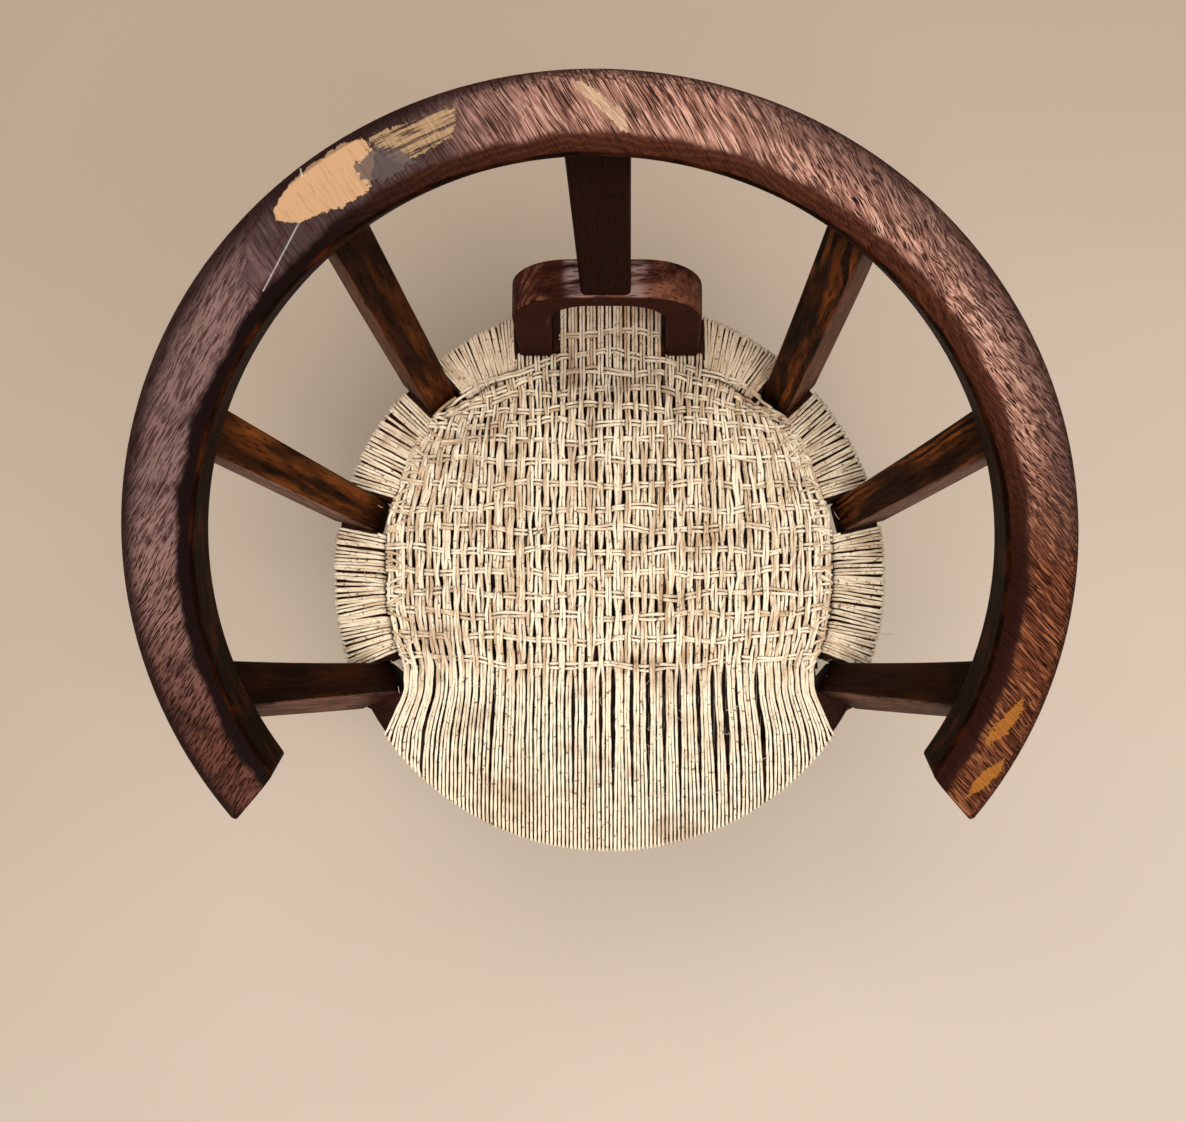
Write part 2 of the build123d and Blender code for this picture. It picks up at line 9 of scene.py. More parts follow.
import bpy
import numpy as np
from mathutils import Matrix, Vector


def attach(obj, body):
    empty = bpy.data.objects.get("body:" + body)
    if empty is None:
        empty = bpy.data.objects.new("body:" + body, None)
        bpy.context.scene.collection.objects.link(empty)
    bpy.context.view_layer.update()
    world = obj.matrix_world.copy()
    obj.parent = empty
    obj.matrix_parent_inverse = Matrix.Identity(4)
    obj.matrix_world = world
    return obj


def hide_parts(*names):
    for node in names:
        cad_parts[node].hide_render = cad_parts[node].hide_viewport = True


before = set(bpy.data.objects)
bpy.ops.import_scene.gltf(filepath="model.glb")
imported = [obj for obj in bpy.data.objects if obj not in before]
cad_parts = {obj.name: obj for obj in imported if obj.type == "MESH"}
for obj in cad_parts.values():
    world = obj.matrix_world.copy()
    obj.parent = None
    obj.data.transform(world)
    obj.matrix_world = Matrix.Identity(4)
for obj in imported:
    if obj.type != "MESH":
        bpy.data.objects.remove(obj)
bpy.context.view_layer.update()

# Seat ring and mat, as in the solids, about the seat's own axis
SEAT_Y = -0.0139661
RING_OUT = 0.2290
RING_IN = 0.1900
RING_TOP = 0.4364
RING_BOTTOM = 0.4004
RING_CORNER = 0.0060
MAT_RIM = 0.1860
MAT_Z = 0.4365
MAT_SAG = 0.0100

# Cords: radii, twist in radians to the metre, and how far a cord's middle lies off the ring
CORD_R = 0.00152
WEFT_R = 0.00136
WRAP_R = 0.00130
UNDER_R = CORD_R * 1.14
FIBRE_R = 0.00016
TWIST = 240
CORD_LIFT = 0.00175

# Rail: a flat hoop tilted up at the back
HOOP_ORIGIN = (0.0, -0.035 + SEAT_Y, 0.700)
HOOP_TILT = radians(23.0)
HOOP_UP = (0.0, -sin(HOOP_TILT), cos(HOOP_TILT))

# Arch and uprights that the cords pass
FOOT_IN = 0.0445
FOOT_OUT = 0.0775
FOOT_FRONT = 0.1830
POST_ANGLES = (-25.0, 14.7, 46.2)
POST_HALF = 0.0140


def srgb(red, green, blue):
    """Colour as it is seen on a screen, 0 to 255, as linear light."""
    parts = [value / 255 for value in (red, green, blue)]
    light = [v / 12.92 if v <= 0.04045 else ((v + 0.055) / 1.055) ** 2.4 for v in parts]
    return (*light, 1.0)


def between(tints, number, share):
    """Tint so far from the first of some tints towards another."""
    return [a + (b - a) * share for a, b in zip(tints[0], tints[number])]


def add_object(name, data):
    """Object in the scene, with its mesh, light or camera."""
    made = bpy.data.objects.new(name, data)
    bpy.context.scene.collection.objects.link(made)
    return made


# Finishes


class Value:
    """Socket of a finish. Arithmetic on it adds Math nodes."""

    def __init__(self, finish, socket):
        self.finish = finish
        self.socket = socket

    def math(self, operation, *inputs):
        return self.finish.node("ShaderNodeMath", {"operation": operation}, dict(enumerate(inputs)))

    def __add__(self, other):
        return self.math("ADD", self, other)

    __radd__ = __add__

    def __sub__(self, other):
        return self.math("SUBTRACT", self, other)

    def __rsub__(self, other):
        return self.math("SUBTRACT", other, self)

    def __mul__(self, other):
        return self.math("MULTIPLY", self, other)

    __rmul__ = __mul__

    def sine(self):
        return self.math("SINE", self)

    def cosine(self):
        return self.math("COSINE", self)

    def most(self, other):
        return self.math("MAXIMUM", self, other)


class Finish:
    """Material made of nodes round one Principled shader."""

    def __init__(self, name):
        self.material = bpy.data.materials.new(name)
        self.material.use_nodes = True
        self.tree = self.material.node_tree
        self.shader = self.tree.nodes["Principled BSDF"]

    def node(self, kind, settings, sockets, output=0):
        """Node of a kind: its settings come first, then its sockets' values or links."""
        made = self.tree.nodes.new(kind)
        for name, setting in settings.items():
            setattr(made, name, setting)
        for name, given in sockets.items():
            if isinstance(given, Value):
                self.tree.links.new(given.socket, made.inputs[name])
            else:
                made.inputs[name].default_value = given
        return Value(self, made.outputs[output])

    def place(self):
        """Position on the piece, in metres in the model's frame."""
        return self.node("ShaderNodeTexCoord", {}, {}, "Object")

    def vector(self, operation, *inputs, output=0):
        """Vector Math node."""
        return self.node("ShaderNodeVectorMath", {"operation": operation}, dict(enumerate(inputs)), output)

    def turned(self, place, origin, rotation, scale=(1, 1, 1)):
        """Position in a frame with its own origin, rotation and scale."""
        sockets = {"Vector": place, "Location": origin, "Rotation": rotation, "Scale": scale}
        return self.node("ShaderNodeMapping", {"vector_type": "TEXTURE"}, sockets)

    def spun(self, place, degrees):
        """Position turned about its z axis."""
        return self.turned(place, (0, 0, 0), (0, 0, radians(degrees)))

    def on_hoop(self, place):
        """Position in the rail's own frame, level with its tilted hoop."""
        return self.turned(place, HOOP_ORIGIN, (HOOP_TILT, 0, 0))

    def stretched(self, place, factors):
        """Position drawn out or packed along each axis."""
        return self.vector("MULTIPLY", place, factors)

    def cloud(self, place, factors, detail=2.0, roughness=0.5, distortion=0.0):
        """Soft noise with so many features to the metre along each axis, from 0 to 1."""
        sockets = {"Scale": 1.0, "Detail": detail, "Roughness": roughness, "Distortion": distortion}
        return self.node("ShaderNodeTexNoise", {}, {"Vector": self.stretched(place, factors), **sockets})

    def swayed(self, place, factor, size):
        """Position pushed about by soft noise."""
        noise = {"Vector": place, "Scale": factor, "Detail": 1.0}
        push = self.node("ShaderNodeTexNoise", {}, noise, "Color")
        return self.vector("MULTIPLY_ADD", push, (size, size, size), place)

    def dashes(self, place, length, spacing, width, dimensions="2D"):
        """Short dashes drawn out along x: 1 in the middle of each and 0 between them."""
        packed = self.stretched(place, (1 / length, 1 / spacing, 1 / spacing))
        settings = {"voronoi_dimensions": dimensions}
        near = self.node("ShaderNodeTexVoronoi", settings, {"Vector": packed, "Scale": 1.0}, "Distance")
        return 1 - self.ramp(near, width * 0.60, width)

    def doubled_dashes(self, place, stretch, dash):
        """Dashes in two layers, the second one stretched otherwise."""
        return self.dashes(place, *dash).most(self.dashes(self.stretched(place, stretch), *dash))

    def part_of(self, vector, axis):
        """One coordinate of a position."""
        return self.node("ShaderNodeSeparateXYZ", {}, {"Vector": vector}, axis)

    def along(self, place, direction):
        """Distance along a direction."""
        return self.vector("DOT_PRODUCT", place, direction, output="Value")

    def away(self, place):
        """Distance from the origin."""
        return self.vector("LENGTH", place, output="Value")

    def openness(self, reach):
        """How open a place is: 0 deep between its neighbours and 1 on the outside."""
        return self.node("ShaderNodeAmbientOcclusion", {"samples": 6}, {"Distance": reach}, "AO")

    def facing(self, direction):
        """How far the surface faces a direction, from -1 to 1."""
        return self.along(self.node("ShaderNodeNewGeometry", {}, {}, "Normal"), direction)

    def ramp(self, value, low, high, start=0.0, end=1.0):
        """Smooth step between two levels of a value."""
        sockets = {"Value": value, "From Min": low, "From Max": high, "To Min": start, "To Max": end}
        return self.node("ShaderNodeMapRange", {"interpolation_type": "SMOOTHSTEP"}, sockets)

    def mix(self, share, first, second):
        """Colour between two others."""
        settings = {"data_type": "RGBA", "clamp_factor": True}
        return self.node("ShaderNodeMix", settings, {0: share, 6: first, 7: second}, 2)

    def relief(self, height, depth, edge=0.0):
        """Normal of a surface with a height of so many metres, its sharp edges eased."""
        sockets = {"Height": height, "Distance": depth, "Strength": 1.0}
        if edge:
            sockets["Normal"] = self.node("ShaderNodeBevel", {"samples": 4}, {"Radius": edge})
        return self.node("ShaderNodeBump", {}, sockets)

    def surface(self, **sockets):
        """Colour, roughness and the rest of the finish."""
        for name, given in sockets.items():
            socket = self.shader.inputs[name.replace("_", " ")]
            if isinstance(given, Value):
                self.tree.links.new(given.socket, socket)
            else:
                socket.default_value = given
        return self.material


def grain_rotation(direction):
    """Rotation whose x axis lies along the grain."""
    return Vector(direction).to_track_quat("X", "Z").to_euler()


def worn_shape(finish, place, outline, ragged, streaks=None):
    """Worn patch on the rail's top, with chipped edges and perhaps streaks: 1 inside and 0 outside."""
    area = sum(x0 * y1 - x1 * y0 for (x0, y0), (x1, y1) in zip(outline, outline[1:] + outline[:1]))
    corners = outline if area > 0 else outline[::-1]
    reach = None
    for (x0, y0), (x1, y1) in zip(corners, corners[1:] + corners[:1]):
        length = hypot(x1 - x0, y1 - y0)
        out = ((y1 - y0) / length, (x0 - x1) / length, 0.0)
        side = finish.along(place, out) - (x0 * out[0] + y0 * out[1])
        reach = side if reach is None else reach.most(side)
    chips = finish.cloud(place, (330, 330, 330), 3.0, 0.6)
    inside = 1 - finish.ramp(reach + (chips - 0.5) * ragged, -0.0003, 0.0004)
    if streaks is None:
        return inside
    return inside * finish.ramp(finish.cloud(finish.spun(place, streaks), (34, 460, 1), 3.0, 0.6), 0.40, 0.54)


# Rail's top: distances from the hoop's middle between which each shade fades in
INNER_CHAMFER = (0.2612, 0.2626)
INNER_EDGE = (0.2670, 0.2715)
OUTER_SHADE = (0.2790, 0.2960)
OUTER_EDGE = (0.2885, 0.3010)
# Dark patch on the left shoulder: middle, turn and half-sizes
DUSK = ((-0.138, 0.238, 0), (0, 0, radians(38)), (0.090, 0.042, 1))
# Pores and streaks: length, spacing and width
CREST_PORES = (0.0560, 0.0019, 0.18)
LEFT_PORES = (0.0260, 0.0018, 0.20)
RIGHT_PORES = (0.0380, 0.0019, 0.19)
CURLED_PORES = (0.0170, 0.0016, 0.20)
SHOULDER_STREAKS = (0.045, 0.0058, 0.17)


def rail_wood(name, grain_angle, pores, wear):
    """Rail's finish: fine open pores on a rubbed, mauve top, dark polished edges and black-brown walls."""
    finish = Finish(name)
    hoop = finish.on_hoop(finish.place())
    side, depth = finish.part_of(hoop, "X"), finish.part_of(hoop, "Y")
    grain = finish.spun(hoop, grain_angle)
    bent = finish.swayed(grain, 28, 0.006)
    curled = finish.swayed(grain, 48, 0.009)
    fibre = finish.cloud(bent, (30, 820, 820), 3.0, 0.6)
    coarse = finish.cloud(bent, (24, 330, 330), 3.0, 0.6)
    blot = finish.cloud(hoop, (38, 38, 38), 3.0, 0.6)
    large = finish.cloud(hoop, (10, 10, 10), 2.0, 0.5)
    rightward = finish.ramp(side + (large - 0.5) * 0.10, -0.18, 0.02)
    forward = finish.ramp((large - 0.5) * 0.08 - depth + rightward * 0.115, -0.03, 0.11)
    curl = finish.ramp(side + (blot - 0.5) * 0.08, 0.06, 0.13)
    curl = curl * finish.ramp(depth + (blot - 0.5) * 0.06, 0.0, 0.08)
    straight_pores = finish.doubled_dashes(bent, (1.9, 1.1, 1), pores)
    curled_pores = finish.doubled_dashes(curled, (1.3, 0.9, 1), CURLED_PORES)
    # Smooth part of the left arm: fewer pores there, and its colour carries a painted sheen below.
    smooth = (1 - rightward) * finish.ramp(depth + (blot - 0.5) * 0.08, 0.0, 0.09)
    pore = (straight_pores * (1 - curl) + curled_pores * curl) * (1 - smooth * 0.45)
    streaks = finish.dashes(finish.spun(hoop, 54), *SHOULDER_STREAKS) * smooth

    def zoned(left, right, left_tip, right_tip):
        """Colour that drifts from the left arm to the right one, and on to their tips."""
        back = finish.mix(rightward, srgb(*left), srgb(*right))
        return finish.mix(forward, back, finish.mix(rightward, srgb(*left_tip), srgb(*right_tip)))

    middle = zoned((124, 91, 84), (138, 96, 81), (88, 52, 42), (86, 45, 28))
    pale = zoned((156, 124, 117), (204, 160, 139), (122, 82, 68), (154, 95, 62))
    deep = zoned((58, 37, 34), (82, 50, 41), (42, 21, 16), (54, 26, 16))
    dusk = 1 - finish.ramp(finish.away(finish.turned(hoop, *DUSK)) + (blot - 0.5) * 0.9, 0.55, 1.15)
    colour = finish.mix(finish.ramp(blot, 0.26, 0.54), deep, middle)
    colour = finish.mix(finish.ramp(coarse, 0.50, 0.68) * (rightward * 0.20 + 0.12), colour, pale)
    # Painted sheen: the smooth part of the left arm is painted a greyer mauve, as varnish that reflects the
    # room.
    colour = finish.mix(smooth * 0.55, colour, srgb(100, 78, 77))
    colour = finish.mix(dusk * 0.88, colour, srgb(50, 37, 37))
    shine = (rightward * 0.48 + 0.20) * (1 - smooth * 0.4) * (1 - dusk * 0.7)
    colour = finish.mix(finish.ramp(fibre, 0.52, 0.60) * shine, colour, pale)
    colour = finish.mix(finish.ramp(fibre, 0.39, 0.47, 0.80, 0.0), colour, deep)
    colour = finish.mix(pore * (0.96 - dusk * 0.3), colour, srgb(28, 12, 9))
    colour = finish.mix(streaks * 0.75, colour, srgb(64, 31, 24))

    away = finish.away(finish.stretched(hoop, (1, 1, 0)))
    rough_line = away + (blot - 0.5) * 0.010
    from_inner = finish.ramp(rough_line - rightward * 0.0035, *INNER_EDGE)
    colour = finish.mix(finish.ramp(rough_line, *OUTER_SHADE) * curl * 0.62, colour, srgb(60, 41, 39))
    to_outer = finish.ramp(rough_line - rightward * 0.006, *OUTER_EDGE)
    waves = finish.ramp(((away * 1700 + large * 70 + coarse * 9).sine() + 1) * 0.5, 0.5, 1.0)
    edge = zoned((24, 13, 12), (64, 33, 23), (24, 13, 11), (40, 18, 12))
    edge = finish.mix(waves * rightward * (1 - forward) * 0.35, edge, srgb(104, 56, 32))
    edge = finish.mix(pore * 0.6, edge, srgb(16, 7, 5))
    colour = finish.mix(from_inner, edge, colour)
    colour = finish.mix(to_outer * 0.86, colour, srgb(27, 13, 11))
    upward = finish.facing(HOOP_UP)
    on_chamfer = 1 - finish.ramp(away + (blot - 0.5) * 0.003, *INNER_CHAMFER)
    on_wall = (1 - finish.ramp(upward, 0.20, 0.50)).most(on_chamfer)
    figure = finish.ramp(finish.cloud(hoop, (40, 40, 130), 3.0), 0.45, 0.75)
    colour = finish.mix(on_wall, colour, finish.mix(figure, srgb(19, 5, 1), srgb(64, 26, 7)))
    on_top = from_inner * (1 - to_outer) * finish.ramp(upward, 0.5, 0.8)

    bare = None
    for outline, ragged, scraped, tint, strength in wear:
        worn = worn_shape(finish, hoop, outline, ragged, scraped) * finish.ramp(upward, 0.6, 0.9) * strength
        ticks = finish.ramp(finish.cloud(grain, (70, 420, 420), 3.0), 0.58, 0.68)
        shade = finish.mix(ticks * 0.4, srgb(*tint), srgb(*(part * 0.76 for part in tint)))
        colour = finish.mix(worn, colour, shade)
        bare = worn if bare is None else worn.most(bare)

    height = (fibre * 0.45 - pore) * (on_top * 0.85 + 0.15)
    gloss = 0.50 + on_top * 0.12
    if bare is not None:
        height = height * (1 - bare * 0.7) - bare * 0.25
        gloss = gloss + bare * 0.15
    normal = finish.relief(height, 0.0008, 0.0030)
    return finish.surface(Base_Color=colour, Roughness=gloss, Normal=normal, Specular_IOR_Level=0.02)


def frame_wood(name, direction, figure, bands, tints, lit_side=(0, -1, 0), rings=None):
    """Uprights' finish: near-black satin wood that glows warm in streaks and bands, painted paler as if lit
    on the side that faces the front light, with painted shade near the seat and under the rail.
    """
    dark, warm, pale = (srgb(*tint) for tint in tints)
    dim, brown, shaded = (srgb(*between(tints, *step)) for step in ((1, 0.25), (1, 0.6), (2, 0.6)))
    finish = Finish(name)
    place = finish.place()
    sideways = finish.part_of(place, "X")
    grain = finish.turned(place, (0, 0, 0), grain_rotation(direction))
    sway = finish.cloud(grain, (7, 34, 34), 2.0, 0.5)
    if rings is None:
        across = (finish.part_of(grain, "Y") + finish.part_of(grain, "Z") * 0.7) * 1150
    else:
        across = finish.away(finish.turned(place, rings, (0, 0, 0))) * 1900
    layers = ((across + sway * 26).sine() + 1) * 0.5
    fibre = finish.cloud(grain, (26, 680, 680), 3.0, 0.6)
    streak = finish.cloud(grain, (14, 150, 150), 3.0, 0.6)
    pore = finish.dashes(grain, 0.022, 0.0022, 0.30, "3D")
    glow = finish.ramp(finish.cloud(grain, (6, 42, 42), 3.0, 0.55, 0.3), 0.38, 0.62) * figure

    colour = finish.mix(finish.ramp(streak, 0.35, 0.65), dark, dim)
    colour = finish.mix(glow, colour, finish.mix(finish.ramp(streak, 0.36, 0.66), brown, warm))
    lined = finish.ramp(layers, 0.40, 0.75) * (glow * 0.8 + 0.2) * bands
    if rings is not None:
        lined = lined * (1 - finish.ramp(sideways, -0.025, 0.0))
    colour = finish.mix(lined, colour, dark)
    # Painted light: the side that faces the front light is painted paler.
    beside = finish.ramp(finish.facing(lit_side), 0.60, 0.85)
    lines = finish.ramp(fibre * 0.5 + streak * 0.5, 0.40, 0.60)
    colour = finish.mix(beside, colour, finish.mix(lines, shaded, pale))
    if rings is not None:
        left_rub = finish.ramp(sideways, -0.0345, -0.0255) * (1 - finish.ramp(sideways, -0.020, 0.0))
        right_rub = finish.ramp(sideways, 0.010, 0.020) * (1 - finish.ramp(sideways, 0.021, 0.036))
        rubbed = left_rub.most(right_rub) * finish.ramp(finish.facing((0, 0, 1)), 0.6, 0.9)
        colour = finish.mix(rubbed * finish.ramp(streak, 0.36, 0.58) * 0.85, colour, srgb(148, 120, 114))
    colour = finish.mix(pore * 0.7, colour, srgb(12, 5, 3))
    height = finish.part_of(place, "Z")
    # Painted shade: the uprights darken where they meet the seat and just under the rail.
    shade_by_seat = finish.ramp(height, 0.380, 0.430) * (1 - finish.ramp(height, 0.446, 0.484))
    shadow_under_rail = finish.ramp(finish.part_of(finish.on_hoop(place), "Z"), -0.080, -0.046)
    colour = finish.mix(shade_by_seat.most(shadow_under_rail) * 0.65, colour, dark)
    gloss = finish.ramp(fibre, 0.3, 0.7, 0.46, 0.60)
    normal = finish.relief(fibre * 0.5 + layers * 0.15 - pore * 0.8, 0.0005, 0.0014)
    return finish.surface(Base_Color=colour, Roughness=gloss, Normal=normal, Specular_IOR_Level=0.02)


def cord_fibre(name, pale, deep, reach):
    """Cord's finish: loosely laid plant fibre, each length a little different, with painted shade between
    cords.
    """
    finish = Finish(name)
    place = finish.place()
    lay = finish.node("ShaderNodeUVMap", {"uv_map": "Lay"}, {})
    tone = finish.node("ShaderNodeAttribute", {"attribute_name": "tone"}, {}, "Fac")
    along = finish.part_of(lay, "X")
    turn = finish.part_of(lay, "Y") * 2 * pi - along * TWIST
    sockets = {"X": along * 48, "Y": turn.cosine() * 1.5, "Z": turn.sine() * 1.5}
    twisted = finish.node("ShaderNodeCombineXYZ", {}, sockets)
    strand = finish.cloud(twisted, (1, 1, 1), 3.0, 0.6)
    hair = finish.cloud(twisted, (3, 4, 4), 3.0, 0.65)
    each = finish.node("ShaderNodeCombineXYZ", {}, {"X": along * 24, "Y": tone * 60})
    length = finish.cloud(each, (1, 1, 1), 2.0, 0.6)
    soil = finish.cloud(place, (26, 26, 26), 4.0, 0.6)
    speck = finish.cloud(place, (310, 310, 310), 2.0, 0.5)
    depth = finish.part_of(place, "Y")

    ripe = finish.ramp(tone + (strand - 0.5) * 1.5 + (length - 0.5) * 1.5, 0.05, 0.95)
    colour = finish.mix(ripe, srgb(*deep), srgb(*pale))
    colour = finish.mix(finish.ramp(hair, 0.56, 0.74, 0.0, 0.75), colour, srgb(*pale))
    colour = finish.mix(finish.ramp(hair, 0.28, 0.42, 0.60, 0.0), colour, srgb(122, 86, 54))
    # Painted light: the cords over the seat's front are painted paler, where the light falls brightest.
    before = finish.ramp(0 - depth, 0.090, 0.120)
    colour = finish.mix(before * 0.62, colour, srgb(*pale))
    colour = finish.mix(finish.ramp(soil, 0.52, 0.68, 0.0, 0.42), colour, srgb(158, 116, 78))
    colour = finish.mix(finish.ramp(speck, 0.62, 0.69, 0.0, 0.80), colour, srgb(108, 70, 42))
    # Darker and browner towards the seat's back.
    behind = finish.ramp(depth + (soil - 0.5) * 0.16, 0.06, 0.20)
    colour = finish.mix(behind * 0.50, colour, srgb(122, 86, 60))
    # Painted shade: the colour darkens towards near-black brown where neighbouring cords crowd round.
    crevice_shade = 1 - finish.ramp(finish.openness(reach), 0.20, 0.60)
    colour = finish.mix(crevice_shade * 0.94, colour, srgb(40, 21, 13))
    normal = finish.relief(strand * 0.6 + hair * 0.5, 0.0005)
    return finish.surface(Base_Color=colour, Roughness=0.85, Normal=normal, Specular_IOR_Level=0.2)


# Cords: smooth paths, and the tubes drawn along them


def eased(value, low, high):
    """Smooth step from 0 to 1 between two levels."""
    share = np.clip((value - low) / (high - low), 0, 1)
    return share * share * (3 - 2 * share)


def wander(rng, places, wavelength, size):
    """Gentle random sideways wander along a cord."""
    phases = rng.uniform(0, 2 * pi, 3)
    waves = [np.sin(2 * pi * places / (wavelength * k) + p) for k, p in zip((1.0, 0.57, 0.31), phases)]
    return size * (waves[0] + 0.6 * waves[1] + 0.4 * waves[2]) / 2


def rounded_path(points, rounds=3):
    """Path with its corners cut again and again until they are round."""
    path = np.asarray(points, float)
    for _ in range(rounds):
        near = path[:-1] * 0.75 + path[1:] * 0.25
        far = path[:-1] * 0.25 + path[1:] * 0.75
        path = np.concatenate([path[:1], np.stack([near, far], 1).reshape(-1, 3), path[-1:]])
    return path


def evenly(path, step):
    """Path with points at an even spacing along it."""
    run = np.concatenate([[0.0], np.cumsum(np.linalg.norm(np.diff(path, axis=0), axis=1))])
    places = np.linspace(0, run[-1], max(4, int(run[-1] / step)))
    return np.stack([np.interp(places, run, path[:, axis]) for axis in range(3)], 1), places


class CordMesh:
    """Cords gathered into one piece: uneven tubes, with their lay and their tone."""

    def __init__(self, rng, sides=8, step=0.0019):
        self.rng = rng
        self.sides = sides
        self.step = step
        self.points, self.quads, self.lays, self.tones, self.runs = [], [], [], [], []
        self.count = 0
        self.length = 0.0

    def add(self, path, radius, tone, taut=0.0):
        """Cord along a path, drawn thinner where it is taut over the seat's front and at its back."""
        path, run = evenly(path, self.step)
        drawn = eased(-path[:, 1], 0.075, 0.105) + 0.8 * eased(path[:, 1], 0.100, 0.140)
        radius = radius * (1 - taut * drawn)[:, None]
        ahead = np.gradient(path, axis=0)
        ahead /= np.linalg.norm(ahead, axis=1)[:, None]
        side = np.zeros_like(ahead)
        start = np.cross(ahead[0], (0.31, 0.17, 0.94))
        side[0] = start / np.linalg.norm(start)
        for i in range(1, len(path)):
            turned = side[i - 1] - ahead[i] * np.dot(side[i - 1], ahead[i])
            side[i] = turned / np.linalg.norm(turned)
        up = np.cross(ahead, side)
        around = np.arange(self.sides) / self.sides
        twist = 2 * pi * around[None, :] - run[:, None] * TWIST + self.rng.uniform(0, 2 * pi)
        thick = radius * (1 + 0.06 * np.cos(2 * twist)) * (1 + wander(self.rng, run, 0.024, 0.13))[:, None]
        ring = np.cos(2 * pi * around)[None, :, None] * side[:, None, :]
        ring = ring + np.sin(2 * pi * around)[None, :, None] * up[:, None, :]
        self.points.append((path[:, None, :] + ring * thick[:, :, None]).reshape(-1, 3))
        rows = np.arange(len(path) - 1)[:, None] * self.sides
        cols = np.arange(self.sides)[None, :]
        after = (cols + 1) % self.sides
        quads = np.stack([rows + cols, rows + after, rows + self.sides + after, rows + self.sides + cols], -1)
        self.quads.append(quads.reshape(-1, 4) + self.count)
        here = run[:-1, None] + 0 * around[None, :]
        there = run[1:, None] + 0 * around[None, :]
        low = around[None, :] + 0 * here
        high = low + 1 / self.sides
        corners = [(here, low), (here, high), (there, high), (there, low)]
        self.lays.append(np.stack([np.stack(pair, -1) for pair in corners], -2).reshape(-1, 4, 2))
        self.runs.append(np.repeat(self.length + run[:-1], self.sides))
        self.tones.append(np.full(len(path) * self.sides, tone))
        self.count += len(path) * self.sides
        self.length += run[-1] + self.step

    def strips(self):
        """Flat layout of all the cords as rows of strips, one row under another."""
        rows = int(np.ceil(np.sqrt(self.length / (2.6 * pi * CORD_R))))
        row_length = self.length / rows
        lays = np.concatenate(self.lays)
        begin = np.concatenate(self.runs)
        row = np.minimum(begin // row_length, rows - 1)
        flat = np.empty_like(lays)
        run_on = begin[:, None] - row[:, None] * row_length + lays[:, :, 0] - lays[:, :1, 0]
        flat[:, :, 0] = run_on / (row_length + 2 * self.step)
        flat[:, :, 1] = (row[:, None] + 0.1 + 0.8 * lays[:, :, 1]) / rows
        return flat

    def piece(self, name, finish, nodes):
        """Finished piece that stands for plain solids of the model."""
        mesh = bpy.data.meshes.new(name)
        points = np.concatenate(self.points) + (0, SEAT_Y, 0)
        mesh.from_pydata(points.tolist(), [], np.concatenate(self.quads).tolist())
        for layout, places in (("Lay", np.concatenate(self.lays)), ("OFBake", self.strips())):
            layer = mesh.uv_layers.new(name=layout)
            layer.data.foreach_set("uv", places.astype(np.float32).ravel())
        tone = mesh.attributes.new("tone", "FLOAT", "POINT")
        tone.data.foreach_set("value", np.concatenate(self.tones).astype(np.float32))
        mesh.shade_smooth()
        mesh.materials.append(finish)
        made = add_object(name, mesh)
        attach(made, "root")
        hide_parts(*nodes)


# Half-width of the woven mat at places from front to back
MAT_EDGE = [
    (-0.240, 0.1900), (-0.152, 0.1896), (-0.130, 0.1868), (-0.112, 0.1785), (-0.098, 0.1718),
    (-0.074, 0.1712), (-0.056, 0.1790), (-0.025, 0.1854), (0.025, 0.1862), (0.048, 0.1850),
    (0.070, 0.1768), (0.104, 0.1660), (0.131, 0.1490), (0.141, 0.1360), (0.153, 0.1210), (0.240, 0.1210),
]
# Weft rows: place on the seat's centre line, and how far they lag behind it at ROW_HALF to either side
WEFT_ROWS = [
    (0.2030, 0.040), (0.1850, 0.042), (0.1720, 0.034), (0.1570, 0.022), (0.1420, 0.010), (0.1290, 0.004),
    (0.1140, 0.001), (0.0970, 0.0), (0.0770, 0.0), (0.0570, 0.0), (0.0400, 0.0), (0.0210, -0.001),
    (0.0020, -0.002), (-0.0160, -0.002), (-0.0340, -0.003), (-0.0540, -0.004), (-0.0760, -0.006),
]
ROW_HALF = 0.132
# Half-widths of the row behind the arch and of the short rows in front of it, and a row's two strands
BACK_ROW = 0.0415
SHORT_ROW = 0.135
STRAND_GAP = 0.0028
# Places where the front warps part: from left to right, and half the width of the gap
WARP_GAPS = [
    (-0.151, 0.0008), (-0.143, 0.0007), (-0.096, 0.0006), (-0.030, 0.0014), (-0.019, 0.0010),
    (-0.007, 0.0016), (0.004, 0.0016), (0.017, 0.0012), (0.033, 0.0015), (0.046, 0.0012), (0.059, 0.0018),
    (0.076, 0.0019), (0.087, 0.0026), (0.0975, 0.0023), (0.109, 0.0016), (0.1256, 0.0014),
]
# How far in front of the seat's middle the gaps open, start to narrow and close, more or less
GAP_OPENS = (0.070, 0.088)
GAP_NARROWS = 0.128
GAP_CLOSES = 0.198
GAP_UNEVEN = 0.018
# Bands of warps: how many have two and three, the spacing in and between them, and the share of slips
PAIRS, TRIPLES = 36, 14
WARP_SPACING = 0.00268
BAND_GAP = 0.00135
SLIPS = 0.06
# Half the width that the warps take in the mat and over the ring's front, and how much thinner they get
HALF_SEAT = 0.188
FRONT_HALF = 0.1895
FRONT_TAUT = 0.20
# How far the cords rise and fall where they cross
WARP_RISE = 0.00105
WEFT_RISE = 0.00175
# Warps that end at the arch's feet, and those that end at the ring's back corners
FOOT_FIELD = (0.0450, 0.0770)
CORNER_FIELD = 0.128
# Spacing of the turns round the ring, between the posts and beside the arch
WRAP_PITCH = 0.00272
CORNER_PITCH = 0.00215
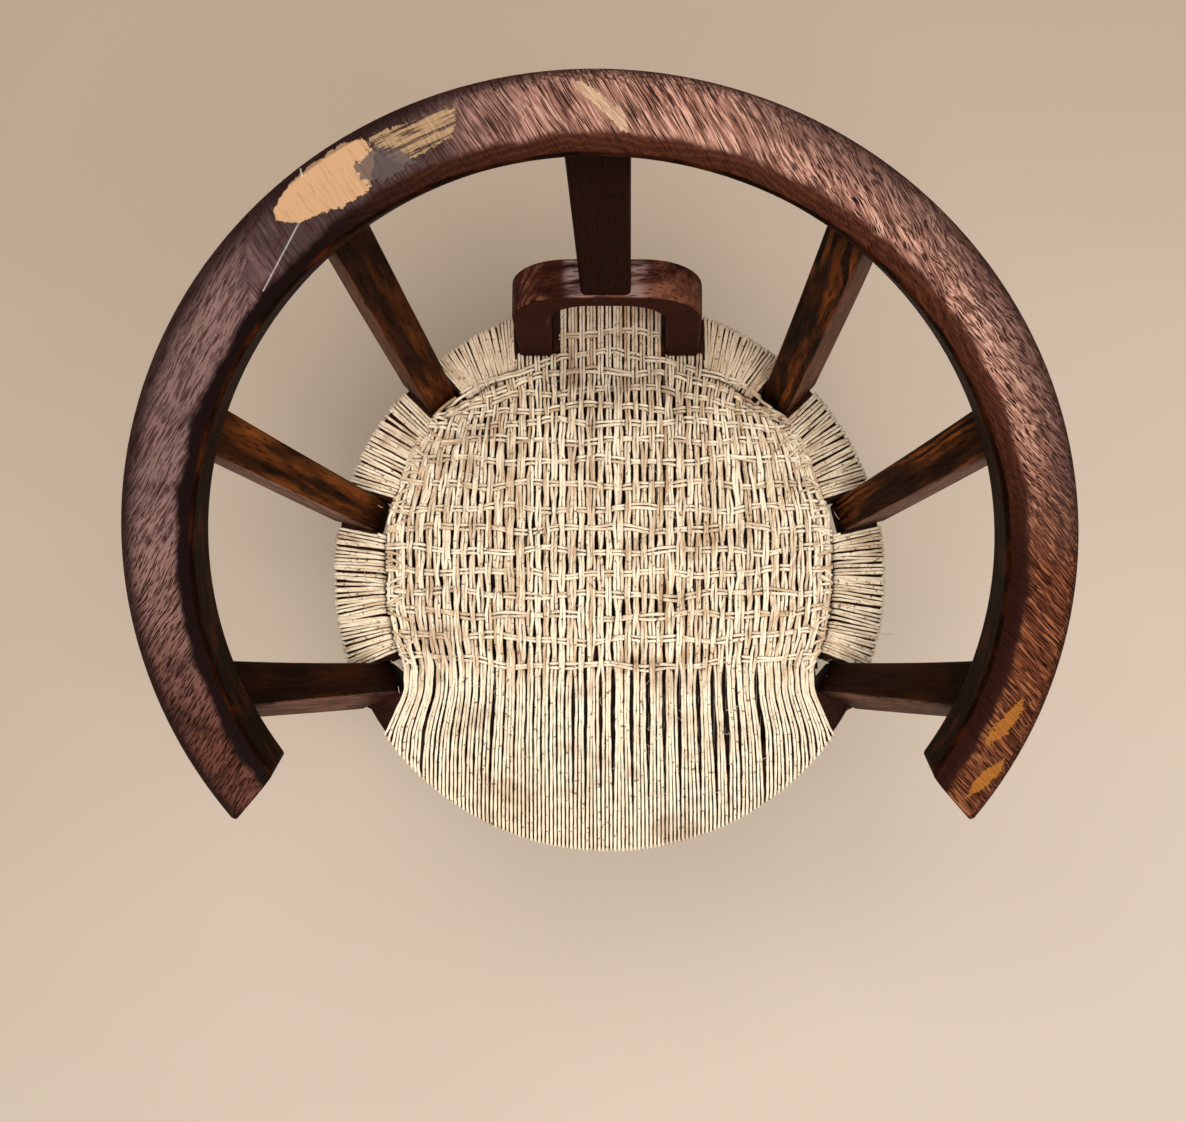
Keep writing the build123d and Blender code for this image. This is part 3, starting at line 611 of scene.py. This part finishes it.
# Corners of a turn round the ring: outward, upward, first bearing, and the shares of the turn they take
WRAP_CORNERS = [(1, 1, 90, 0, 0.1), (1, -1, 0, 0.1, 0.2), (-1, -1, -90, 0.8, 0.9), (-1, 1, 180, 0.9, 1)]
# Stray fibres, and the long one beside the right front leg
STRAY_FIBRES = 170
LONG_FIBRE = [(0.2235, -0.0488, 0.4405), (0.230, -0.0497, 0.4415), (0.2362, -0.0492, 0.4400)]


class Weave:
    """Plan of the seat: bands of two or three warps, and which cord is on top where a row crosses a band."""

    def __init__(self, rng):
        sizes = rng.permutation([2] * PAIRS + [3] * TRIPLES)
        widths = sizes * WARP_SPACING + BAND_GAP
        scale = 2 * HALF_SEAT / widths.sum()
        edges = np.concatenate([[0.0], np.cumsum(widths)]) * scale - HALF_SEAT
        self.centres = (edges[1:] + edges[:-1]) / 2
        self.halves = sizes * WARP_SPACING * scale / 2
        self.warps = []
        for band, (centre, size) in enumerate(zip(self.centres, sizes)):
            for k in range(size):
                self.warps.append((band, centre + (k - (size - 1) / 2) * WARP_SPACING * scale))
        rows = np.arange(len(WEFT_ROWS))[:, None]
        self.warp_above = np.where((rows + np.arange(len(sizes))[None, :]) % 2, 1, -1)
        slips = rng.random(self.warp_above.shape) < SLIPS
        self.warp_above = np.where(slips, -self.warp_above, self.warp_above)
        self.turns = rng.uniform(0, 2 * pi, (len(sizes), 3))

    def turn_of(self, band, y):
        """How far the warps of a band have turned round each other."""
        first, second, third = self.turns[band]
        slow = 0.55 * np.sin(y * 2 * pi / 0.085 + first)
        quick = 0.40 * np.sin(y * 2 * pi / 0.047 + second)
        return slow + quick + 0.2 * np.sin(third)

    def front_place(self, number):
        """Sideways place of a warp on the ring's front, where all lie at an even spacing."""
        return FRONT_HALF * (2 * (number + 0.5) / len(self.warps) - 1)


def mat_edge(y):
    """Half-width of the mat at a place from front to back."""
    places, widths = np.array(MAT_EDGE).T
    fine = np.linspace(-0.26, 0.26, 521)
    smooth = np.convolve(np.pad(np.interp(fine, places, widths), 6, "edge"), np.ones(13) / 13, "valid")
    return np.interp(y, fine, smooth)


def mat_height(x, y):
    """Middle of the mat's thickness, dished towards the middle and level with the cord on the ring."""
    out = np.hypot(x, y)
    dish = MAT_Z - MAT_SAG * (1 - np.minimum(out / MAT_RIM, 1) ** 2)
    on_ring = RING_TOP + CORD_LIFT
    return dish + (on_ring - MAT_Z) * eased(out, RING_IN - 0.012, RING_IN + 0.004)


def weft_place(row, x):
    """Place of a weft row from front to back, at places from left to right."""
    centre, lag = WEFT_ROWS[row]
    drift = 0.0018 * np.sin(x * 2 * pi / 0.12 + row * 2.1) + 0.0010 * np.sin(x * 2 * pi / 0.053 + row * 1.3)
    return centre - lag * (x / ROW_HALF) ** 2 + drift


def warp_x(line, y):
    """Sideways place of a warp: it keeps clear of the legs and of the arch's feet."""
    squeeze = 1 - mat_edge(y) / HALF_SEAT
    x = line * (1 - squeeze * (abs(line) / HALF_SEAT) ** 2)
    behind = abs(line)
    if behind < FOOT_FIELD[0]:
        behind = behind * (FOOT_IN - CORD_R) / FOOT_FIELD[0]
    return x + (np.sign(line) * behind - x) * eased(y, 0.130, 0.181)


def warp_at(line, y):
    """Sideways place of a warp at a single place from front to back."""
    return float(warp_x(line, np.array([y]))[0])


def parted(home, y):
    """Sideways shift of a front warp, and how far it huddles with the others between two gaps."""
    places, halves = zip((-HALF_SEAT, 0.0), *WARP_GAPS, (HALF_SEAT, 0.0))
    number = min(max(int(np.searchsorted(places, home)), 1), len(places) - 1)
    left, right = places[number - 1], places[number]
    low = left + halves[number - 1]
    high = right - halves[number]
    packed = (high - low) / (right - left)
    share = (home - left) / (right - left)
    closed = GAP_CLOSES + GAP_UNEVEN * sin(number * 2.4)
    window = eased(-y, *GAP_OPENS) * np.clip((closed + y) / (closed - GAP_NARROWS), 0, 1)
    return (low + share * (high - low) - home) * window, (1 - packed) * window


def warp_path(rng, weave, number):
    """One warp: from under the ring's front, over it, through the wefts and over the ring's back."""
    band, line = weave.warps[number]
    even = weave.front_place(number)
    size = abs(line)
    reach = RING_OUT + CORD_LIFT
    low = RING_BOTTOM - CORD_LIFT
    top = RING_TOP + CORD_LIFT
    front = -np.sqrt(reach**2 - even**2)
    at_foot = FOOT_FIELD[0] < size < FOOT_FIELD[1]
    at_side = size > FOOT_FIELD[1]
    if at_side:
        at_ring = warp_at(size, 0.150)
        back = min(np.sqrt((RING_IN - 0.004) ** 2 - at_ring**2), 0.152 - (size - CORNER_FIELD) * 0.55)
    elif at_foot:
        back = FOOT_FRONT + 0.001
    else:
        back = np.sqrt(reach**2 - warp_at(line, 0.24) ** 2)
    y = np.linspace(front, back, 260)
    x = warp_x(line, y) + (even - line) * (1 - eased(y, -0.205, -0.120))
    loose = eased(y, -0.20, -0.14) * (1 - eased(y, 0.16, 0.185))
    turn = weave.turn_of(band, y) * eased(y, -0.11, -0.07) * (1 - eased(y, 0.14, 0.17))
    loose_x = loose * (0.35 + 0.65 * eased(y, -0.10, -0.06))
    x = x + (line - weave.centres[band]) * (np.cos(turn) - 1) + wander(rng, y, 0.055, 0.0010) * loose_x
    aside, huddle = parted(warp_at(line, -0.120), y)
    x = x + aside

    rows = np.array([weft_place(row, x) for row in range(len(WEFT_ROWS))])
    ends = np.stack([rows[0] + 0.016, rows[-1] - 0.018])
    rows = np.concatenate([ends[:1], rows, ends[1:]])
    signs = np.concatenate([[0], weave.warp_above[:, band], [0]])
    wave = np.zeros_like(y)
    for i, place in enumerate(y):
        order = np.argsort(rows[:, i])
        wave[i] = np.interp(place, rows[order, i], signs[order], left=0.0, right=0.0)
    wave = np.sin(wave * pi / 2)
    on_mat = 1 - eased(np.hypot(x, y), RING_IN - 0.010, RING_IN)
    z = mat_height(x, y) + wave * WARP_RISE * on_mat + wander(rng, y, 0.04, 0.0005) * loose
    z = z + (line - weave.centres[band]) * np.sin(turn) * 0.8 * on_mat
    z = z + (number % 2 - 0.5) * 0.0036 * np.maximum(huddle - 0.15, 0)
    path = np.stack([x, y, z], 1)

    under = min(-np.sqrt(max(RING_IN**2 - even**2, 0.0)), front + 0.050)
    head = [(even, under, low), (even, front, low), (even, front, low + 0.018), (even, front, top)]
    end_x, end_z = path[-1, 0], path[-1, 2]
    if at_side:
        tail = [(end_x, back + 0.002, end_z - 0.005), (end_x, back + 0.002, end_z - 0.018)]
    elif at_foot:
        tail = [(end_x, back + 0.0005, end_z - 0.002)]
    else:
        inner = np.sqrt(RING_IN**2 - end_x**2)
        tail = [(end_x, back, top), (end_x, back, low + 0.018), (end_x, back, low), (end_x, inner, low)]
    keep = (path[:, 1] > front + 0.006) & ((path[:, 1] < back - 0.006) | at_side | at_foot)
    return rounded_path(np.concatenate([head, path[keep][::3], tail]))


def weft_path(rng, weave, row, strand):
    """One weft cord of a pair: over and under the bands of warps, then down past the mat's edge."""
    centre, lag = WEFT_ROWS[row]
    limit = BACK_ROW if row == 0 else SHORT_ROW
    x = np.linspace(-HALF_SEAT, HALF_SEAT, 520)
    y = weft_place(row, x) + (strand - 0.5) * STRAND_GAP + wander(rng, x, 0.07, 0.0010)
    inside = np.abs(x) < np.minimum(mat_edge(y) - 0.0012, limit if row < 4 else 1.0)
    x, y = x[inside], y[inside]
    places, signs = [], []
    for band, (line, half) in enumerate(zip(weave.centres, weave.halves)):
        crossing = warp_at(line, centre - lag * (line / ROW_HALF) ** 2)
        flat = max(half - 0.0012, 0.0008) * abs(crossing / line)
        places += [crossing - flat, crossing + flat]
        signs += [-weave.warp_above[row, band]] * 2
    order = np.argsort(places)
    wave = np.sin(np.interp(x, np.array(places)[order], np.array(signs)[order]) * pi / 2)
    z = mat_height(x, y) + wave * WEFT_RISE
    path = np.stack([x, y, z], 1)
    ends = []
    for end, way in ((path[0], -1), (path[-1], 1)):
        ends.append([end + (way * 0.002, 0, -0.004), end + (way * 0.0025, 0, -0.016)])
    return rounded_path(np.concatenate([ends[0][::-1], path[::2], ends[1]]), 2)


def tie_path(rng, row, way):
    """Short slanting end of a weft, brought round the mat's outermost warps."""
    centre, lag = WEFT_ROWS[row]
    y0 = float(centre - lag) + rng.uniform(-0.008, 0.008)
    edge = way * float(mat_edge(np.array([y0]))[0])
    inward, slope = rng.uniform(0.009, 0.019), rng.uniform(-0.9, 0.9)
    share = np.linspace(0, 1, 9)
    x = edge - way * inward * share
    y = y0 + inward * slope * share
    over = 0.0024 * np.sin(pi * np.clip(share * 1.15, 0, 1))
    z = mat_height(x, y) + over - 0.0022 * eased(share, 0.75, 1.0)
    start = (edge + way * 0.0012, y0, z[0] - 0.010)
    return rounded_path(np.concatenate([[start], np.stack([x, y, z], 1)]), 2)


def wrap_path(rng, low, high, pitch, foot=None):
    """Cord wound round the ring from a post to the next, or to the arch's foot, and fanned between them."""
    wide = RING_OUT - RING_IN + 2 * CORD_LIFT
    tall = RING_TOP - RING_BOTTOM + 2 * CORD_LIFT
    middle_r = (RING_OUT + RING_IN) / 2
    middle_z = (RING_TOP + RING_BOTTOM) / 2
    beside = POST_HALF + CORD_R + 0.0003
    if foot is not None:
        high = np.arccos((foot + CORD_R) / middle_r) + beside / middle_r
    turns = int(((high - low) * middle_r - 2 * beside) / pitch)
    round_r = RING_CORNER + CORD_LIFT
    section = []
    for outward, upward, bearing, begin, end in WRAP_CORNERS:
        for k in range(5):
            bend = radians(bearing - 22.5 * k)
            dr = outward * (wide / 2 - round_r) + round_r * cos(bend)
            dz = upward * (tall / 2 - round_r) + round_r * sin(bend)
            section.append((dr, dz, begin + (end - begin) * k / 4))
    loose = rng.normal(0, 1, (turns + 6, 2))
    shared = np.array([loose[k : k + 5].mean(0) for k in range(turns + 2)])
    drift = shared * 0.0030 + loose[: turns + 2] * 0.0006
    calm = np.sin(np.linspace(0, pi, turns + 2)) ** 0.5
    proud = rng.uniform(0.0, 0.0008, turns + 2)
    points = []
    for turn in range(turns):
        for dr, dz, share in section:
            r = middle_r + dr
            first = low + np.arcsin(beside / r)
            last = high - np.arcsin(beside / r) if foot is None else np.arccos((foot + CORD_R) / r)
            k = turn + (share > 0.5)
            outside = dr / wide + 0.5
            lean = (outside * drift[k, 0] + (1 - outside) * drift[k, 1]) * calm[k]
            angle = first + (last - first) * (turn + share) / turns + lean / r
            lift = proud[k] if dz > 0 else 0.0
            points.append((r * cos(angle), r * sin(angle), middle_z + dz + lift))
    return rounded_path(points, 2)


def under_path(rng, weave, number):
    """The same warp on its way back under the seat, from the ring's front to its back."""
    even = weave.front_place(number)
    edge = np.sqrt(max((RING_IN + 0.004) ** 2 - even**2, 0.0))
    y = np.linspace(-edge, edge, max(6, int(edge / 0.012)))
    x = even + wander(rng, y, 0.16, 0.0003)
    return np.stack([x, y, np.full_like(y, RING_BOTTOM - CORD_LIFT)], 1)


def fibre_path(rng):
    """Stray fibre that stands off the seat."""
    angle, out = rng.uniform(0, 2 * pi), 0.205 * np.sqrt(rng.random())
    x, y = out * cos(angle), out * sin(angle)
    way, length, bend = rng.uniform(0, 2 * pi), rng.uniform(0.005, 0.017), rng.normal(0, 1.3)
    share = np.linspace(0, 1, 7)
    turn = way + bend * share
    px = x + np.cumsum(np.cos(turn)) * length / 7
    py = y + np.cumsum(np.sin(turn)) * length / 7
    pz = mat_height(px, py) + 0.0019 + 0.0022 * np.sin(share * pi * rng.uniform(0.6, 1.0))
    return np.stack([px, py, pz], 1)


def weave_seat():
    """All the cords of the seat, in pieces that stand for the plain mat and sleeves."""
    rng = np.random.default_rng(7)
    straw = cord_fibre("straw_cord", (252, 236, 208), (190, 154, 116), 0.0055)
    # Painted shade: the cords under the seat are the same cord as on top, painted near-black with heavy
    # painted shade so that the seat's gaps look dark.
    shade_dark_finish = cord_fibre("shade_dark_cord", (66, 46, 34), (26, 17, 13), 0.09)
    weave = Weave(rng)
    count = len(weave.warps)
    under = CordMesh(rng, 6, 0.006)
    for side, numbers in (("left", range(count // 2)), ("right", range(count // 2, count))):
        warps = CordMesh(rng)
        for number in numbers:
            thick, tone = CORD_R * rng.uniform(0.90, 1.06), rng.uniform(0.36, 0.86)
            warps.add(warp_path(rng, weave, number), thick, tone, FRONT_TAUT)
            under.add(under_path(rng, weave, number), UNDER_R, rng.uniform(0.1, 0.8))
        nodes = ["seat_weave", "cord_wrap_front", "cord_wrap_back"]
        warps.piece(f"seat_warps_{side}", straw, nodes)
        wraps = CordMesh(rng)
        spans = [(low, high, None) for low, high in zip(POST_ANGLES, POST_ANGLES[1:])]
        for low, high, foot in spans + [(POST_ANGLES[-1], 90.0, FOOT_OUT)]:
            pitch = WRAP_PITCH if foot is None else CORNER_PITCH
            path = wrap_path(rng, radians(low), radians(high), pitch, foot)
            path[:, 0] *= -1 if side == "left" else 1
            wraps.add(path, WRAP_R, 0.6)
        sleeves = [f"cord_wrap_{place}_{side}" for place in ("arm", "side", "corner")]
        wraps.piece(f"ring_wraps_{side}", straw, sleeves)
    under.piece("seat_under_warps", shade_dark_finish, ["seat_weave"])
    wefts = CordMesh(rng)
    for row in range(len(WEFT_ROWS)):
        for strand in range(2):
            path = weft_path(rng, weave, row, strand)
            wefts.add(path, WEFT_R * rng.uniform(0.92, 1.06), rng.uniform(0.45, 1.0))
    for row in range(5, len(WEFT_ROWS)):
        for way in (-1, 1, -1, 1, -1, 1):
            wefts.add(tie_path(rng, row, way), WEFT_R * rng.uniform(0.85, 1.05), rng.uniform(0.2, 0.9))
    wefts.piece("seat_wefts", straw, ["seat_weave"])
    fibres = CordMesh(rng, 4, 0.0014)
    for _ in range(STRAY_FIBRES):
        fibres.add(fibre_path(rng), FIBRE_R, rng.uniform(0.4, 1.0))
    fibres.add(np.array(LONG_FIBRE), 0.0003, 0.5)
    fibres.piece("stray_fibres", straw, ["seat_weave"])


def in_millimetres(*points):
    """Outline on the rail's top, given in millimetres."""
    return [(x / 1000, y / 1000) for x, y in points]


# Worn patches on the rail's top: outline, how chipped, direction of any streaks, colour and strength
BARE, BARE_PALE, SMEARED, HONEY = (178, 139, 104), (176, 144, 106), (82, 71, 69), (150, 92, 38)
TIP_OF_BARE = in_millimetres(
    (-183.5, 231.4), (-183.0, 225.3), (-169.8, 224.2), (-154.3, 230.9), (-150.5, 259.5), (-159.9, 255.7),
    (-173.5, 244.7),
)
BARE_MIDDLE = in_millimetres(
    (-156.7, 229.6), (-142.6, 233.5), (-128.5, 241.5), (-123.3, 261.6), (-129.4, 268.8), (-144.4, 265.3),
    (-154.0, 258.4),
)
SCRAPED = in_millimetres(
    (-127.1, 269.9), (-100.7, 278.1), (-77.6, 285.1), (-77.3, 277.1), (-80.0, 269.9), (-109.1, 254.8),
    (-121.0, 262.0),
)
SMEAR = in_millimetres(
    (-136.0, 254.2), (-123.0, 264.3), (-107.4, 262.0), (-101.7, 256.9), (-117.6, 247.4), (-131.6, 246.2)
)
CREST_SCRAPE = in_millimetres(
    (-13.0, 298.1), (-8.1, 298.5), (6.8, 289.4), (15.7, 282.2), (19.7, 272.0), (13.4, 273.6), (2.3, 284.3)
)
NICK = in_millimetres((-168.0, 254.2), (-167.2, 254.6), (-165.4, 249.2), (-166.2, 248.8))
SCARF_LINE = in_millimetres((-169.6, 224.0), (-170.2, 224.4), (-195.0, 186.7), (-194.4, 186.3))
TIP_RUB = in_millimetres(
    (277.4, -72.3), (279.0, -79.8), (270.0, -98.0), (256.2, -106.6), (257.5, -98.0), (264.7, -87.4)
)
END_RUB = in_millimetres(
    (270.0, -116.5), (268.8, -125.9), (258.8, -138.5), (248.1, -144.9), (251.3, -133.8), (258.8, -124.3)
)
PALE_SCRATCHES = [
    (NICK, 0.0004, None, (206, 194, 180), 0.9),
    (SCARF_LINE, 0.0007, None, (176, 168, 164), 0.65),
]
CREST_WEAR = [
    (TIP_OF_BARE, 0.0035, None, BARE, 1.0),
    (BARE_MIDDLE, 0.0065, None, BARE, 1.0),
    (SCRAPED, 0.0060, 22, BARE_PALE, 0.70),
    (SMEAR, 0.0120, None, SMEARED, 0.85),
    (CREST_SCRAPE, 0.0040, None, (154, 120, 102), 0.80),
    (CREST_SCRAPE, 0.0060, -42, (184, 154, 122), 0.9),
]
RIGHT_WEAR = [(TIP_RUB, 0.0100, None, HONEY, 0.9), (END_RUB, 0.0070, None, HONEY, 0.9)]


def finish_wood():
    """Finishes of the wooden pieces, each with its own grain."""
    finishes = {
        "rail_crest": rail_wood("rail_crest_wood", -57.0, CREST_PORES, CREST_WEAR + PALE_SCRATCHES),
        "rail_arm_left": rail_wood("rail_left_wood", 56.0, LEFT_PORES, PALE_SCRATCHES),
        "rail_arm_right": rail_wood("rail_right_wood", -46.0, RIGHT_PORES, RIGHT_WEAR),
    }
    # Tints: dark wood, warm figure, and the painted light on the side that faces the front light
    leg = ((17, 5, 2), (78, 36, 12), (124, 84, 70))
    post = ((24, 8, 3), (150, 82, 32), (146, 106, 90))
    back = ((21, 7, 3), (146, 76, 28), (128, 82, 60))
    bar = ((24, 9, 4), (104, 56, 22), (104, 66, 50))
    uprights = {
        "front_leg": ((0.069, -0.004, 0.192), (-0.42, -0.91, 0), leg, (0.35, 0.2), (0.30, 0.2)),
        "mid_post": ((0.050, 0.020, 0.265), (0.25, -0.97, 0), post, (0.80, 0.25), (1.4, 1.0)),
        "back_leg": ((0.009, 0.035, 0.315), (0.72, -0.69, 0), back, (0.80, 0.25), (1.3, 1.0)),
        "side_stretcher": ((-0.05, 0.30, 0.0), (0, 0, 1), bar, (0.6, 0.5), (0.6, 0.5)),
    }
    for name, (direction, lit_side, tints, left, right) in uprights.items():
        for side, way, (figure, bands) in (("left", -1, left), ("right", 1, right)):
            along = (direction[0] * way, *direction[1:])
            faces = (lit_side[0] * way, *lit_side[1:])
            finishes[f"{name}_{side}"] = frame_wood(f"{name}_{side}_wood", along, figure, bands, tints, faces)
    splat = ((22, 6, 2), (66, 38, 18), (38, 12, 5))
    finishes["back_splat"] = frame_wood("splat_wood", (0, 0.02, 0.21), 0.6, 0.2, splat)
    arch = ((38, 14, 8), (118, 72, 54), (58, 27, 17))
    knot = (-0.030, 0.222 + SEAT_Y, 0.478)
    finishes["splat_arch"] = frame_wood("arch_wood", (1, 0.1, 0.1), 1.0, 1.0, arch, rings=knot)
    # The cross stretcher's top is painted paler, as lit from above.
    finishes["cross_stretcher"] = frame_wood("cross_wood", (1, 0, 0), 0.6, 0.5, bar, (0, 0, 1))
    ring = frame_wood("ring_wood_finish", (1, 0.3, 0), 0.4, 0.4, ((34, 15, 10), (84, 46, 26), (66, 36, 24)))
    pegs = frame_wood("peg_wood_finish", (0, 0, 1), 0.3, 0.4, ((28, 12, 7), (74, 40, 20), (40, 20, 12)))
    for name in ("front", "back", "left", "right"):
        finishes[f"seat_ring_{name}"] = ring
    for name in ("rail_tenon_pegs", "rail_scarf_dowels", "seat_lap_pegs", "seat_ring_dowels"):
        finishes[name] = pegs
    for name, finish in finishes.items():
        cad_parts[name].material_slots[0].material = finish


# Studio


def add_floor():
    """Plain pale floor, painted a little darker at the back left, as the light falls off away from the front
    right.
    """
    mesh = bpy.data.meshes.new("floor")
    half = 4.0
    corners = [(-half, -half, 0), (half, -half, 0), (half, half, 0), (-half, half, 0)]
    mesh.from_pydata(corners, [], [(0, 1, 2, 3)])
    finish = Finish("floor_plaster")
    place = finish.place()
    # Painted light: the floor grows darker away from the front right, as the light falls off.
    shade = finish.along(place, (0.35, -0.94, 0)) + (finish.cloud(place, (1.6, 2.6, 1), 2.0, 0.5) - 0.5) * 0.5
    colour = finish.mix(finish.ramp(shade, -0.9, 0.9), srgb(178, 158, 138), srgb(206, 190, 174))
    mesh.materials.append(finish.surface(Base_Color=colour, Roughness=0.9, Specular_IOR_Level=0.2))
    add_object("floor", mesh)


def add_light(name, place, target, size, power, colour):
    """Large soft light that points at a place."""
    lamp = bpy.data.lights.new(name, "AREA")
    lamp.shape = "DISK"
    lamp.size = size
    lamp.energy = power
    lamp.color = colour
    holder = add_object(name, lamp)
    holder.location = place
    holder.rotation_euler = (Vector(target) - Vector(place)).to_track_quat("-Z", "Y").to_euler()


def add_studio():
    """Soft light from above and a pale room round it."""
    add_light("key_light", (0.5, -0.9, 3.9), (0, 0, 0.4), 2.3, 135, (1.0, 0.98, 0.95))
    add_light("top_light", (-0.5, 1.1, 3.6), (0, 0, 0.4), 1.8, 42, (1.0, 0.98, 0.95))
    world = bpy.data.worlds.new("room")
    world.use_nodes = True
    world.node_tree.nodes["Background"].inputs["Color"].default_value = (1.0, 0.975, 0.95, 1.0)
    world.node_tree.nodes["Background"].inputs["Strength"].default_value = 0.26
    bpy.context.scene.world = world
    bpy.context.scene.view_settings.view_transform = "Standard"


def add_camera():
    """Camera that looks straight down, as the photograph was taken."""
    lens = bpy.data.cameras.new("camera")
    lens.sensor_fit = "HORIZONTAL"
    lens.sensor_width = 36.0
    lens.lens = 40.46
    lens.shift_x = -0.0379
    lens.shift_y = 0.1088
    camera = add_object("camera", lens)
    camera.location = (0.024, -0.1098, 1.55)
    bpy.context.scene.camera = camera


weave_seat()
finish_wood()
add_floor()
add_studio()
add_camera()

bpy.context.view_layer.update()
